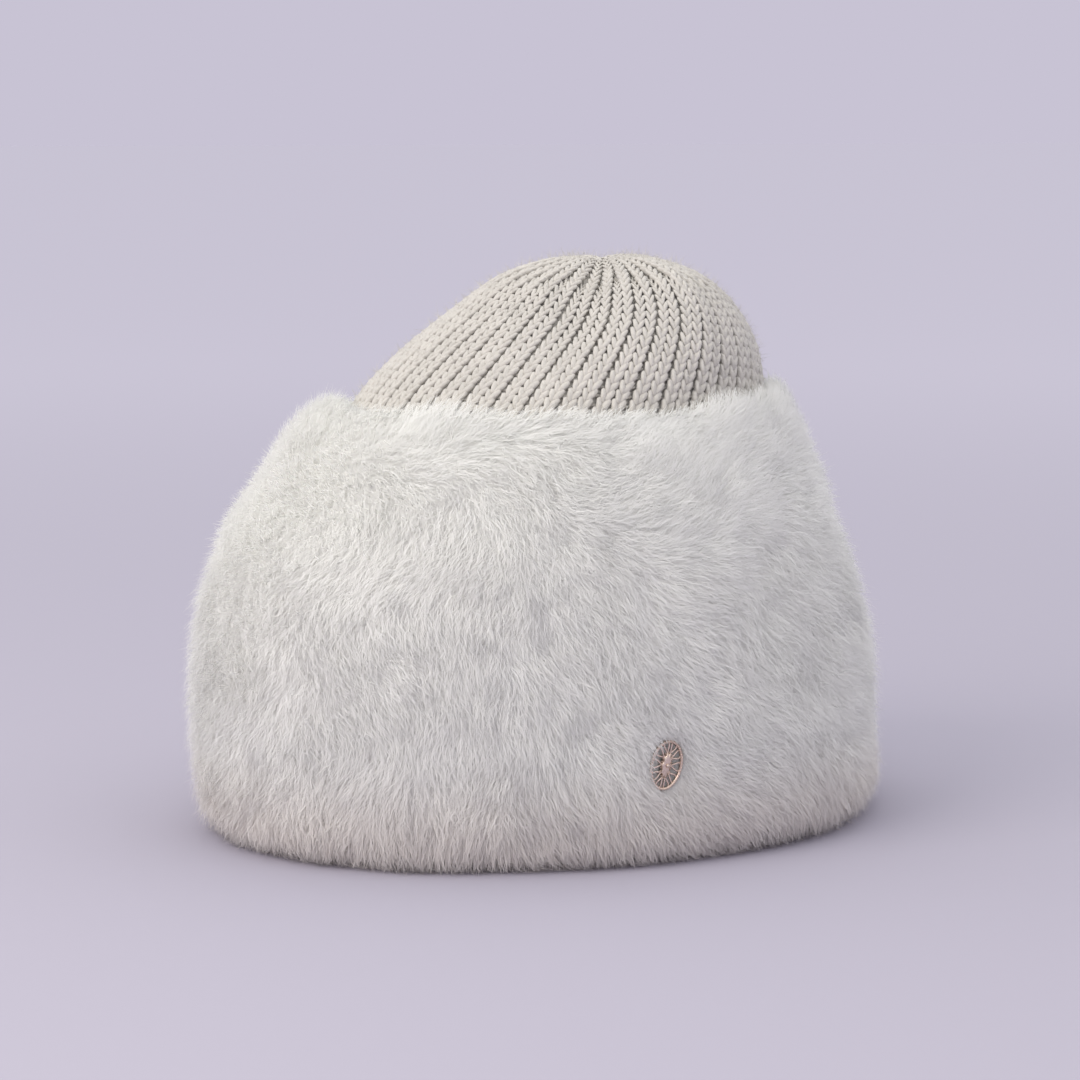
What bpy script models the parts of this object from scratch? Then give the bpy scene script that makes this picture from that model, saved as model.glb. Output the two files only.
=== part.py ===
"""A knitted beanie with a wide, folded plush cuff and a small metal badge, standing on its rim.

Metres, +Z up. The wearer looks along -Y, and the wearer's left ear is at +X. The origin lies on the
surface that the rim stands on, under the middle of the cuff.
"""

import math
import random
from collections import namedtuple

import bmesh
import bpy
from mathutils import Matrix, Vector

TURN = 2 * math.pi

# The cuff: a band of deep-pile plush, turned under at the rim and rounded at its top edge
CUFF_LENGTH = 0.252
CUFF_WIDTH = 0.204
CUFF_HEIGHT = 0.145
TOP_EDGE_ROUND = 0.0045
ROLL_DEPTH = 0.022
ROLL_HEIGHT = 0.020
NARROWER_FRONT = 0.045
RIM_SETBACK = 0.0019  # the cuff swells to the front, so the rim's own middle lies behind the origin

# Locks of pile: rows of overlapping tufts that point down to the rim
LOCKS_AROUND = 28
LOCK_ROWS = 7
LOCK_RISE = 0.0036
LOCK_SEED = 11

# The knit: one rib-knit cap inside the cuff, drawn together at the crown
HAT_HEIGHT = 0.196
KNIT_THICKNESS = 0.0038
KNIT_GAP = 0.0004
EDGE_CLEARANCE = 0.0003
RIBS = 76
RIB_DEPTH = 0.0017
GATHER_DIMPLE = 0.0035
GATHER_RADIUS = 0.0050

# The badge: an oval rosette in open metalwork, set into the pile over the wearer's left ear
BADGE_ANGLE = math.radians(83)
BADGE_HEIGHT = 0.034
BADGE_LEAN = math.radians(-12)
BADGE_WIDTH = 0.012
BADGE_LENGTH = 0.017
BADGE_PLATE = 0.0010
BADGE_RIM = 0.0011
BADGE_RIM_RISE = 0.0007
BOSS_SHARE = 0.30
BOSS_RISE = 0.0012
WINDOWS = 10
WINDOW_BAR = 0.0006
BADGE_SINK = 0.0030
SEAT_GAP = 0.0003
POST_RADIUS = 0.0007
POST_LENGTH = 0.0045
POCKET_CLEARANCE = 0.0006

# Outside of the cuff from the floor up. Heights are shares of CUFF_HEIGHT, length and width are
# shares of CUFF_LENGTH and CUFF_WIDTH, and setback, towards the back, is a share of CUFF_LENGTH.
Section = namedtuple("Section", "height length width setback")
CUFF_SECTIONS = [
    Section(0.000, 0.915, 0.900, 0.000),
    Section(0.045, 0.968, 0.958, 0.000),
    Section(0.120, 0.992, 0.988, -0.001),
    Section(0.240, 0.990, 1.000, -0.008),
    Section(0.370, 0.976, 0.997, -0.017),
    Section(0.510, 0.945, 0.976, -0.024),
    Section(0.650, 0.892, 0.938, -0.027),
    Section(0.785, 0.822, 0.880, -0.021),
    Section(0.905, 0.738, 0.806, -0.006),
    Section(0.990, 0.667, 0.734, 0.012),
]

# Inside of the turned-in rim, from its shoulder down to the floor: shares of ROLL_HEIGHT, ROLL_DEPTH
Lip = namedtuple("Lip", "height depth")
LIP_SECTIONS = [Lip(1.00, 0.86), Lip(0.80, 0.98), Lip(0.45, 1.00), Lip(0.14, 0.93), Lip(0.00, 0.80)]

# Outside of the knit, from the edge sewn to the cuff's shoulder up to the gather. Heights are shares
# of the knit's own rise; length, setback and side shift are shares of CUFF_LENGTH, and width is a
# share of CUFF_WIDTH. The crown slouches back and a little to the wearer's left.
Knit = namedtuple("Knit", "height length width setback side")
KNIT_SECTIONS = [
    Knit(0.000, 0.884, 0.860, 0.000, 0.000),
    Knit(0.130, 0.868, 0.868, -0.010, 0.000),
    Knit(0.290, 0.838, 0.845, -0.018, 0.000),
    Knit(0.440, 0.762, 0.792, -0.020, 0.000),
    Knit(0.570, 0.668, 0.720, -0.013, 0.001),
    Knit(0.670, 0.600, 0.668, 0.005, 0.002),
    Knit(0.745, 0.565, 0.645, 0.028, 0.004),
    Knit(0.825, 0.490, 0.600, 0.056, 0.007),
    Knit(0.900, 0.390, 0.508, 0.079, 0.010),
    Knit(0.958, 0.290, 0.390, 0.086, 0.013),
    Knit(0.990, 0.175, 0.240, 0.089, 0.015),
    Knit(1.000, 0.080, 0.105, 0.088, 0.015),
]

# Soft dents pressed into the pile. Angles run from the front round the wearer's left, in degrees;
# height and reach are shares of CUFF_HEIGHT, and depth is a share of LOCK_RISE.
Dent = namedtuple("Dent", "angle spread height reach depth")
CUFF_DENTS = [
    Dent(5, 40, 0.84, 0.08, 1.00),
    Dent(112, 13, 0.52, 0.20, 0.75),
    Dent(148, 20, 0.20, 0.14, 1.05),
    Dent(205, 18, 0.58, 0.22, 0.70),
    Dent(262, 15, 0.40, 0.20, 0.85),
    Dent(318, 16, 0.62, 0.18, 0.60),
]

# Folds of the gathered crown, deepest near the gather; depth is a share of KNIT_THICKNESS
Fold = namedtuple("Fold", "angle spread depth")
CROWN_FOLDS = [
    Fold(48, 13, 1.15),
    Fold(96, 10, -0.45),
    Fold(140, 12, 0.60),
    Fold(196, 15, -0.50),
    Fold(238, 12, 0.75),
    Fold(300, 14, 0.55),
    Fold(352, 14, -0.35),
]

# Rows and columns of the meshes
ROWS_PER_LOCK = 3
COLUMNS_PER_LOCK = 4
HIDDEN_COLUMNS = 38
HIDDEN_ROWS = 7
CROWN_ROWS = 9


def clear_scene():
    for thing in list(bpy.data.objects):
        bpy.data.objects.remove(thing, do_unlink=True)


def spline(rows, share):
    """A smooth row between the rows of a table, at a share from 0, its first row, to 1, its last."""
    last = len(rows) - 1
    place = min(max(share, 0.0), 1.0) * last
    index = min(int(place), last - 1)
    t = place - index
    before, start = rows[max(index - 1, 0)], rows[index]
    end, after = rows[index + 1], rows[min(index + 2, last)]
    return [
        0.5 * (2 * b + (c - a) * t + (2 * a - 5 * b + 4 * c - d) * t**2 + (3 * b - a - 3 * c + d) * t**3)
        for a, b, c, d in zip(before, start, end, after)
    ]


def angles(count):
    """Angles from the front round by the wearer's left."""
    return [TURN * i / count for i in range(count)]


def turn_between(angle, centre_degrees):
    """The smallest turn from a centre to an angle, in degrees."""
    return (math.degrees(angle) - centre_degrees + 180) % 360 - 180


def cuff_profile(share):
    """The cuff's outside: half length, half width, setback, side shift and height."""
    height, length, width, setback = spline(CUFF_SECTIONS, share)
    return (
        length * CUFF_LENGTH / 2,
        width * CUFF_WIDTH / 2,
        setback * CUFF_LENGTH,
        0.0,
        max(height, 0.0) * CUFF_HEIGHT,
    )


def knit_profile(share):
    """The knit's outside, in the same terms."""
    height, length, width, setback, side = spline(KNIT_SECTIONS, share)
    sewn_edge = ROLL_HEIGHT + KNIT_GAP
    return (
        length * CUFF_LENGTH / 2,
        width * CUFF_WIDTH / 2,
        setback * CUFF_LENGTH,
        side * CUFF_LENGTH,
        sewn_edge + height * (HAT_HEIGHT - sewn_edge),
    )


def oval_point(angle, half_length, half_width, back, side, height):
    """A point on a level oval, a little narrower towards the forehead."""
    x = half_width * math.sin(angle) * (1 - NARROWER_FRONT * math.cos(angle))
    return Vector((x + side, back - half_length * math.cos(angle), height))


def surface_point(profile, angle, share, lift=0.0):
    """A point lifted off a profile's surface, and the way out of the surface there."""
    step = 0.004
    point = oval_point(angle, *profile(share))
    higher = oval_point(angle, *profile(min(share + step, 1.0)))
    lower = oval_point(angle, *profile(max(share - step, 0.0)))
    onward = oval_point(angle + step, *profile(share))
    out = (onward - point).cross(higher - lower).normalized()
    return point + out * lift, out


def share_at_height(profile, height):
    """Where on a profile a height lies, by halving the range."""
    low, high = 0.0, 1.0
    for _ in range(30):
        middle = (low + high) / 2
        if profile(middle)[4] < height:
            low = middle
        else:
            high = middle
    return high


def edge_share():
    """Where the knit's profile leaves the cuff."""
    return share_at_height(knit_profile, CUFF_HEIGHT)


def dent_depth(angle, height):
    total = 0.0
    for dent in CUFF_DENTS:
        turn = turn_between(angle, dent.angle) / dent.spread
        climb = (height / CUFF_HEIGHT - dent.height) / dent.reach
        total += dent.depth * LOCK_RISE * math.exp(-(turn**2) - climb**2)
    return total


def lock_rows():
    """The sizes of the locks in each row, uneven as brushed pile is, and how far the row is shifted."""
    chance = random.Random(LOCK_SEED)
    return [
        ([chance.uniform(0.5, 1.0) for _ in range(LOCKS_AROUND)], chance.randrange(COLUMNS_PER_LOCK))
        for _ in range(LOCK_ROWS + 1)
    ]


def lock_rise(locks, row, column):
    """How far the pile stands out at a vertex: a lock swells from its root down to its tip."""
    lock_row, step_up = divmod(row, ROWS_PER_LOCK)
    sizes, shift = locks[lock_row]
    lock_column, step_round = divmod(column + shift, COLUMNS_PER_LOCK)
    across = abs(2 * step_round / COLUMNS_PER_LOCK - 1)
    swell = (1 - across**1.5) * (1 - 0.75 * step_up / ROWS_PER_LOCK)
    return LOCK_RISE * sizes[lock_column % LOCKS_AROUND] * swell


def fold_depth(angle, share):
    """The folds begin at the cuff's edge, deepen up the crown and die out in the gather."""
    edge = edge_share()
    climb = (share - edge) / (1 - edge)
    strength = math.sin(math.pi * min(max(climb, 0.0), 0.94) ** 1.3)
    return strength * sum(
        fold.depth * KNIT_THICKNESS * math.exp(-((turn_between(angle, fold.angle) / fold.spread) ** 2))
        for fold in CROWN_FOLDS
    )


def bridge(builder, first, second):
    """Faces between two closed loops of any counts, which start at the same angle."""
    if len(first) == len(second):
        for i in range(len(first)):
            j = (i + 1) % len(first)
            builder.faces.new((first[i], first[j], second[j], second[i]))
        return
    i = j = 0
    while i < len(first) or j < len(second):
        a, b = first[i % len(first)], second[j % len(second)]
        if (i + 1) * len(second) <= (j + 1) * len(first):
            i += 1
            builder.faces.new((a, first[i % len(first)], b))
        else:
            j += 1
            builder.faces.new((a, second[j % len(second)], b))


def lofted_mesh(name, rings, first_tip=None, last_tip=None):
    """A closed mesh through rings, joined end to start or closed by a tip at each end."""
    builder = bmesh.new()
    loops = [[builder.verts.new(point) for point in ring] for ring in rings]
    for first, second in zip(loops, loops[1:]):
        bridge(builder, first, second)
    if first_tip is None:
        bridge(builder, loops[-1], loops[0])
    else:
        for tip, loop in ((first_tip, loops[0]), (last_tip, loops[-1])):
            corner = builder.verts.new(tip)
            for i, vertex in enumerate(loop):
                builder.faces.new((corner, vertex, loop[(i + 1) % len(loop)]))
    bmesh.ops.recalc_face_normals(builder, faces=builder.faces)
    mesh = bpy.data.meshes.new(name)
    builder.to_mesh(mesh)
    builder.free()
    return mesh


def material(name, colour, roughness, metallic=0.0):
    made = bpy.data.materials.new(name)
    made.use_nodes = True
    shader = made.node_tree.nodes["Principled BSDF"]
    shader.inputs["Base Color"].default_value = (*colour, 1.0)
    shader.inputs["Roughness"].default_value = roughness
    shader.inputs["Metallic"].default_value = metallic
    return made


def add_object(name, mesh, finish, parent, smooth_degrees=50):
    mesh.materials.append(finish)
    mesh.shade_smooth()
    mesh.set_sharp_from_angle(angle=math.radians(smooth_degrees))
    thing = bpy.data.objects.new(name, mesh)
    thing.parent = parent
    bpy.context.scene.collection.objects.link(thing)
    return thing


def add_cutter(name, mesh, parent, target):
    cutter = bpy.data.objects.new(name, mesh)
    cutter.parent = parent
    cutter.hide_render = True
    cutter.display_type = "WIRE"
    bpy.context.scene.collection.objects.link(cutter)
    cut = target.modifiers.new(name, "BOOLEAN")
    cut.operation = "DIFFERENCE"
    cut.solver = "EXACT"
    cut.object = cutter


def hidden_shares():
    """Where the cuff's lining and the knit behind it have their rings, from the sewn edge up."""
    return [edge_share() * i / (HIDDEN_ROWS - 1) for i in range(HIDDEN_ROWS)]


def levelled(ring, height):
    return [Vector((point.x, point.y, height)) for point in ring]


def pile_ring(locks, row):
    rows = LOCK_ROWS * ROWS_PER_LOCK
    share = row / rows
    height = cuff_profile(share)[4]
    fade = min(1.0, 3.0 * share, 5.0 * (1 - share))
    ring = []
    for column, angle in enumerate(angles(LOCKS_AROUND * COLUMNS_PER_LOCK)):
        lift = fade * (lock_rise(locks, row, column) - dent_depth(angle, height))
        ring.append(surface_point(cuff_profile, angle, share, lift)[0])
    return ring


def top_edge_ring(across):
    """A ring on the rounded top edge, a share of the way from the pile to the knit."""
    ring = []
    for angle in angles(HIDDEN_COLUMNS if across > 0.5 else LOCKS_AROUND * COLUMNS_PER_LOCK):
        outside, out = surface_point(cuff_profile, angle, 1.0)
        inside, _ = surface_point(knit_profile, angle, edge_share(), KNIT_GAP)
        up = (0.4 * out + Vector((0, 0, 1))).normalized()
        swell = TOP_EDGE_ROUND * math.sin(math.pi * across) ** 0.7
        ring.append(outside.lerp(inside, across) + up * swell)
    return ring


def cuff_rings():
    """The cuff's section, taken round: outside up, over the top edge, inside down, under the rim."""
    locks = lock_rows()
    rings = [pile_ring(locks, row) for row in range(LOCK_ROWS * ROWS_PER_LOCK + 1)]
    rings += [top_edge_ring(across) for across in (0.22, 0.50, 0.80)]
    for share in reversed(hidden_shares()):
        rings.append([surface_point(knit_profile, a, share, KNIT_GAP)[0] for a in angles(HIDDEN_COLUMNS)])
    rings[-1] = levelled(rings[-1], ROLL_HEIGHT)
    for lip in LIP_SECTIONS:
        half_length = CUFF_LENGTH / 2 - lip.depth * ROLL_DEPTH
        half_width = CUFF_WIDTH / 2 - lip.depth * ROLL_DEPTH
        height = lip.height * ROLL_HEIGHT
        rings.append([oval_point(a, half_length, half_width, 0, 0, height) for a in angles(HIDDEN_COLUMNS)])
    return rings


def knit_ring(share, columns, depth=0.0, groove=0.0):
    """A ring of the knit, where each second column may lie in the groove between two ribs."""
    ring = []
    for column, angle in enumerate(angles(columns)):
        lift = -depth - groove * (column % 2) - fold_depth(angle, share)
        ring.append(surface_point(knit_profile, angle, share, lift)[0])
    return ring


def build_knit(finish, parent):
    """The cap, from the middle of its inside down to the sewn edge, then up its outside."""
    edge = edge_share()
    crown = [edge + (1 - edge) * i / CROWN_ROWS for i in range(CROWN_ROWS + 1)]
    inside = [knit_ring(share, HIDDEN_COLUMNS, KNIT_THICKNESS) for share in hidden_shares() + crown[2:-1:2]]
    inside[0] = levelled(inside[0], ROLL_HEIGHT + KNIT_GAP)
    hidden = [knit_ring(share, HIDDEN_COLUMNS) for share in hidden_shares()[:-1]]
    ribbed = [knit_ring(share, 2 * RIBS, EDGE_CLEARANCE, RIB_DEPTH) for share in crown]
    _, _, back, side, height = knit_profile(1.0)
    centre = Vector((side, back, height))
    gather = [
        centre + Vector((math.sin(a), -math.cos(a), 0)) * GATHER_RADIUS - Vector((0, 0, 0.4 * GATHER_DIMPLE))
        for a in angles(HIDDEN_COLUMNS)
    ]
    rings = [*reversed(inside), *hidden, *ribbed, gather]
    outer_tip = centre - Vector((0, 0, GATHER_DIMPLE))
    inner_tip = outer_tip - Vector((0, 0, KNIT_THICKNESS))
    return add_object("knit_cap", lofted_mesh("knit_cap", rings, inner_tip, outer_tip), finish, parent)


def badge_place(parent):
    """An empty under the badge: its Z points out of the cuff and its Y up the badge."""
    share = share_at_height(cuff_profile, BADGE_HEIGHT)
    seat, out = surface_point(cuff_profile, BADGE_ANGLE, share, -BADGE_SINK)
    up = (Vector((0, 0, 1)) - out * out.z).normalized()
    turned = Matrix.Rotation(BADGE_LEAN, 3, out) @ up
    axes = Matrix((turned.cross(out), turned, out)).transposed()
    empty = bpy.data.objects.new("badge_place", None)
    empty.parent = parent
    empty.matrix_world = Matrix.Translation(seat) @ axes.to_4x4()
    bpy.context.scene.collection.objects.link(empty)
    return empty


def badge_oval(height, inset=0.0, count=32):
    half_width, half_length = BADGE_WIDTH / 2 - inset, BADGE_LENGTH / 2 - inset
    return [Vector((half_width * math.cos(a), half_length * math.sin(a), height)) for a in angles(count)]


def round_ring(radius, height, count=12):
    return [Vector((radius * math.cos(a), radius * math.sin(a), height)) for a in angles(count)]


def build_badge(finish, place):
    """Post, back plate, raised rim and domed boss in one piece, with the windows cut through."""
    top = BADGE_PLATE + BADGE_RIM_RISE
    bevel = 0.25 * BADGE_RIM
    boss_inset = (1 - BOSS_SHARE) * BADGE_WIDTH / 2
    boss_top = BADGE_PLATE + BOSS_RISE
    rings = [
        round_ring(POST_RADIUS * 0.5, -POST_LENGTH),
        round_ring(POST_RADIUS, POST_RADIUS - POST_LENGTH),
        round_ring(POST_RADIUS, 0.0),
        badge_oval(0.0, bevel),
        badge_oval(bevel),
        badge_oval(top - bevel),
        badge_oval(top, bevel),
        badge_oval(top, BADGE_RIM - bevel),
        badge_oval(BADGE_PLATE, BADGE_RIM),
        badge_oval(BADGE_PLATE, boss_inset),
        badge_oval(BADGE_PLATE + 0.7 * BOSS_RISE, boss_inset + bevel),
        badge_oval(boss_top, boss_inset + 3 * bevel),
    ]
    mesh = lofted_mesh("badge", rings, Vector((0, 0, -POST_LENGTH)), Vector((0, 0, boss_top)))
    badge = add_object("badge", mesh, finish, place, smooth_degrees=35)
    add_cutter("badge_windows", window_mesh(), place, badge)


def window_mesh(corners=10):
    """Ten rounded slots between the boss and the rim, long enough to pass through the plate."""
    builder = bmesh.new()
    inner = BOSS_SHARE * BADGE_WIDTH / 2 + WINDOW_BAR
    outer = BADGE_WIDTH / 2 - BADGE_RIM - 0.3 * WINDOW_BAR
    stretch = (BADGE_LENGTH - BADGE_WIDTH) / 2
    for centre in angles(WINDOWS):
        loop = []
        for corner in angles(corners):
            reach = (inner + outer) / 2 + (outer - inner) / 2 * math.cos(corner)
            half_slot = (TURN * reach / WINDOWS - WINDOW_BAR) / 2 / reach
            turn = centre + half_slot * math.sin(corner)
            loop.append((reach * math.cos(turn), (reach + stretch * reach / outer) * math.sin(turn)))
        low = [builder.verts.new((x, y, -SEAT_GAP)) for x, y in loop]
        high = [builder.verts.new((x, y, BADGE_PLATE + BOSS_RISE)) for x, y in loop]
        bridge(builder, low, high)
        builder.faces.new(low)
        builder.faces.new(high)
    bmesh.ops.recalc_face_normals(builder, faces=builder.faces)
    mesh = bpy.data.meshes.new("badge_windows")
    builder.to_mesh(mesh)
    builder.free()
    return mesh


def cut_pocket(cuff, place):
    """A flat-floored pocket in the pile for the badge, with a hole for its post."""
    hole = POST_RADIUS + SEAT_GAP
    bottom = -POST_LENGTH - SEAT_GAP
    mouth = BADGE_SINK + 2 * LOCK_RISE
    rings = [
        round_ring(hole, bottom),
        round_ring(hole, -SEAT_GAP),
        badge_oval(-SEAT_GAP, -POCKET_CLEARANCE),
        badge_oval(mouth, -2.5 * POCKET_CLEARANCE),
    ]
    mesh = lofted_mesh("badge_pocket", rings, Vector((0, 0, bottom)), Vector((0, 0, mouth)))
    add_cutter("badge_pocket", mesh, place, cuff)


def main():
    clear_scene()
    beanie = bpy.data.objects.new("beanie", None)
    bpy.context.scene.collection.objects.link(beanie)
    plush = material("ivory_plush", (0.83, 0.80, 0.76), 0.95)
    yarn = material("oatmeal_yarn", (0.66, 0.60, 0.53), 0.9)
    gilt = material("rose_gilt", (0.66, 0.42, 0.31), 0.28, metallic=1.0)
    cuff = add_object("fur_cuff", lofted_mesh("fur_cuff", cuff_rings()), plush, beanie)
    build_knit(yarn, beanie)
    place = badge_place(beanie)
    cut_pocket(cuff, place)
    build_badge(gilt, place)
    beanie.location.y = RIM_SETBACK


main()
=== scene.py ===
"""Looks of the beanie: brushed plush cuff, rib-knit cap with a gathered crown, and a rose-gilt badge.

Metres, +Z up. The front of the hat is at -Y, and its left side, as it is worn, is at +X.
"""

import math

import bpy
import numpy as np
from mathutils import Matrix, Vector
from mathutils.kdtree import KDTree


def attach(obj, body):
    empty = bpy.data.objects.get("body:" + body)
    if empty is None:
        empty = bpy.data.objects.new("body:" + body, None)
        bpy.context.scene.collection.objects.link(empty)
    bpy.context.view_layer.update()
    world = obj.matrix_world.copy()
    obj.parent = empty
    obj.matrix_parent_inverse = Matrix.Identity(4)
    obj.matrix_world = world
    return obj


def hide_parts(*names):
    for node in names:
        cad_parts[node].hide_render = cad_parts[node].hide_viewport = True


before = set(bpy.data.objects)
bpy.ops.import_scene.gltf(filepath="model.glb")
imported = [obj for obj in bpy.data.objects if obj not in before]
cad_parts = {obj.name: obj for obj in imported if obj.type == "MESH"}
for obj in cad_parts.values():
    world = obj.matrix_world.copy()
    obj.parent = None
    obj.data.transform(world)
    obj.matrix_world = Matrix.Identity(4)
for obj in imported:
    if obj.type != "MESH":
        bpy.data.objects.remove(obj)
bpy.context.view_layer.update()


# Knit cap. A hollow wall of bulky wool-blend yarn, rib-knitted in the round from the sewn edge up.
# It shows only above the cuff, where its ribs run up a slouching crown and are drawn into a gather.

TURN = 2 * math.pi
MM = 0.001
CUFF_LENGTH = 0.252
CUFF_WIDTH = 0.204
CUFF_HEIGHT = 0.145
HAT_HEIGHT = 0.196
ROLL_HEIGHT = 0.020
NARROWER_FRONT = 0.045
RIM_SETBACK = 1.9 * MM
SEAM_GAP = 0.4 * MM
KNIT_THICKNESS = 3.8 * MM
RIBS = 76
STITCH_RISE = 3.7 * MM
YARN_WIDTH = 2.8 * MM

# Height is a share of the knit's rise from its sewn edge; length, setback and side shift are shares
# of CUFF_LENGTH, and width is a share of CUFF_WIDTH.
#   height length width setback side
KNIT_SECTIONS = [
    (0.000, 0.884, 0.860, 0.000, 0.000),
    (0.130, 0.868, 0.868, -0.010, 0.000),
    (0.290, 0.838, 0.845, -0.018, 0.000),
    (0.440, 0.762, 0.792, -0.020, 0.000),
    (0.570, 0.668, 0.720, -0.013, 0.001),
    (0.670, 0.600, 0.668, 0.005, 0.002),
    (0.745, 0.565, 0.645, 0.028, 0.004),
    (0.825, 0.490, 0.600, 0.056, 0.007),
    (0.900, 0.390, 0.508, 0.079, 0.010),
    (0.958, 0.290, 0.390, 0.086, 0.013),
    (0.990, 0.175, 0.240, 0.089, 0.015),
    (1.000, 0.080, 0.105, 0.088, 0.015),
]

# Angles run from the front round by the left side, in degrees; depth is a share of KNIT_THICKNESS.
#   angle spread depth
CROWN_FOLDS = [
    (48, 13, 1.15),
    (96, 10, -0.45),
    (140, 12, 0.60),
    (196, 15, -0.50),
    (238, 12, 0.75),
    (300, 14, 0.55),
    (352, 14, -0.35),
]

# The gather, from its mouth down through the wall. Width is a share of the mouth's, and dip is in
# millimetres.
#   width dip
GATHER_SECTIONS = [(0.70, 0.4), (0.40, 1.4), (0.12, 3.0), (0.02, 4.2), (0.02, 5.6)]


def linear(hex_colour):
    """An sRGB hex colour as linear red, green, blue and alpha."""
    shares = [int(hex_colour[i : i + 2], 16) / 255 for i in (1, 3, 5)]
    return (*(s / 12.92 if s <= 0.04045 else ((s + 0.055) / 1.055) ** 2.4 for s in shares), 1.0)


def between_rows(table, share):
    """Smooth rows between the rows of a table, for an array of shares from 0 to 1."""
    rows = np.asarray(table, float)
    last = len(rows) - 1
    place = np.clip(share, 0.0, 1.0) * last
    index = np.minimum(place.astype(int), last - 1)
    t = (place - index)[..., None]
    a, b = rows[np.maximum(index - 1, 0)], rows[index]
    c, d = rows[index + 1], rows[np.minimum(index + 2, last)]
    curve = (2 * a - 5 * b + 4 * c - d) * t**2
    return 0.5 * (2 * b + (c - a) * t + curve + (3 * b - a - 3 * c + d) * t**3)


def oval(angle, half_length, half_width, back, side, height):
    """Points on level ovals, a little narrower towards the front."""
    x = half_width * np.sin(angle) * (1 - NARROWER_FRONT * np.cos(angle))
    y = back + RIM_SETBACK - half_length * np.cos(angle)
    return np.stack(np.broadcast_arrays(x + side, y, height), -1)


def unit(vectors):
    """Vectors made one long."""
    return vectors / np.maximum(np.linalg.norm(vectors, axis=-1, keepdims=True), 1e-12)


def knit_ovals(share):
    """The knit's level ovals, at shares of the way from its sewn edge to its gather."""
    height, length, width, setback, side = np.moveaxis(between_rows(KNIT_SECTIONS, share), -1, 0)
    edge = ROLL_HEIGHT + SEAM_GAP
    return (
        length * CUFF_LENGTH / 2,
        width * CUFF_WIDTH / 2,
        setback * CUFF_LENGTH,
        side * CUFF_LENGTH,
        edge + height * (HAT_HEIGHT - edge),
    )


def outward(ovals, angle, share, step=0.004):
    """The way out of a surface of stacked ovals."""
    across = oval(angle + step, *ovals(share)) - oval(angle - step, *ovals(share))
    along = oval(angle, *ovals(np.minimum(share + step, 1.0)))
    along = along - oval(angle, *ovals(np.maximum(share - step, 0.0)))
    return unit(np.cross(across, along))


def share_at_height(ovals, height):
    """The share at which a surface of stacked ovals first reaches a height."""
    shares = np.linspace(0, 1, 2001)
    return float(shares[np.argmax(ovals(shares)[4] >= height)])


KNIT_EDGE = share_at_height(knit_ovals, CUFF_HEIGHT)


def fold_depth(angle, share):
    """How far the crown's folds draw the knit in, in metres."""
    climb = np.clip((share - KNIT_EDGE) / (1 - KNIT_EDGE), 0.0, 0.94)
    total = 0.0
    for centre, spread, depth in CROWN_FOLDS:
        turn = (np.degrees(angle) - centre + 180) % 360 - 180
        total = total + depth * KNIT_THICKNESS * np.exp(-((turn / spread) ** 2))
    return np.sin(math.pi * climb**1.3) * total


def knit_surface(angle, share, lift=0.0):
    """Points on the outside of the knit, or lifted off it."""
    angle, share = np.broadcast_arrays(np.asarray(angle, float), np.asarray(share, float))
    out = outward(knit_ovals, angle, share)
    return oval(angle, *knit_ovals(share)) + out * (lift - fold_depth(angle, share))[..., None]


def noise(points, size, seed):
    """Smooth noise from -1 to 1 at points, with features about one size across."""
    place = np.asarray(points) / size + 37.0
    cell = np.floor(place).astype(np.int64)
    t = place - cell
    t = t * t * (3 - 2 * t)
    total = 0.0
    for corner in np.ndindex(2, 2, 2):
        key = (cell + corner) @ np.array([73856093, 19349663, 83492791]) + seed * 2654435761
        key = (key ^ (key >> 13)) * 1274126177 & 0x7FFFFFFF
        value = ((key ^ (key >> 16)) & 0xFFFF) / 32767.5 - 1
        total = total + value * np.prod(np.where(corner, t, 1 - t), axis=-1)
    return total


def mesh_object(name, points, faces):
    """A smooth mesh object from an array of points and lists of the points round each face."""
    mesh = bpy.data.meshes.new(name)
    mesh.from_pydata(np.asarray(points).tolist(), [], faces)
    mesh.polygons.foreach_set("use_smooth", [True] * len(mesh.polygons))
    thing = bpy.data.objects.new(name, mesh)
    bpy.context.scene.collection.objects.link(thing)
    return thing


def ring_quads(rings, columns, first=0, closed=False):
    """Quads between rings of equal counts, numbered ring by ring."""
    ring = np.arange(rings if closed else rings - 1)[:, None]
    column = np.arange(columns)[None, :]
    a, b = ring * columns, (ring + 1) % rings * columns
    onward = (column + 1) % columns
    quads = np.stack(np.broadcast_arrays(a + column, a + onward, b + onward, b + column), -1)
    return (quads.reshape(-1, 4) + first).tolist()


def add_node(tree, kind, inputs=(), **settings):
    """Adds a node; inputs maps its sockets to values or to the outputs that feed them."""
    node = tree.nodes.new(kind)
    for name, value in settings.items():
        setattr(node, name, value)
    for socket, value in dict(inputs).items():
        if isinstance(value, bpy.types.NodeSocket):
            tree.links.new(value, node.inputs[socket])
        else:
            node.inputs[socket].default_value = value
    return node


def new_material(name, **sockets):
    """A Principled material, its tree and its shader, with plain values set on the shader."""
    made = bpy.data.materials.new(name)
    made.use_nodes = True
    shader = made.node_tree.nodes["Principled BSDF"]
    for socket, value in sockets.items():
        shader.inputs[socket.replace("_", " ")].default_value = value
    return made, made.node_tree, shader


# The wall behind the stitches: its outside lies under the yarn, and its inside shows the ribs' backs.
WALL_UNDER_YARN = 2.4
OUTSIDE_RIPPLE = 0.5
INSIDE_RIPPLE = 0.35 * MM

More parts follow.
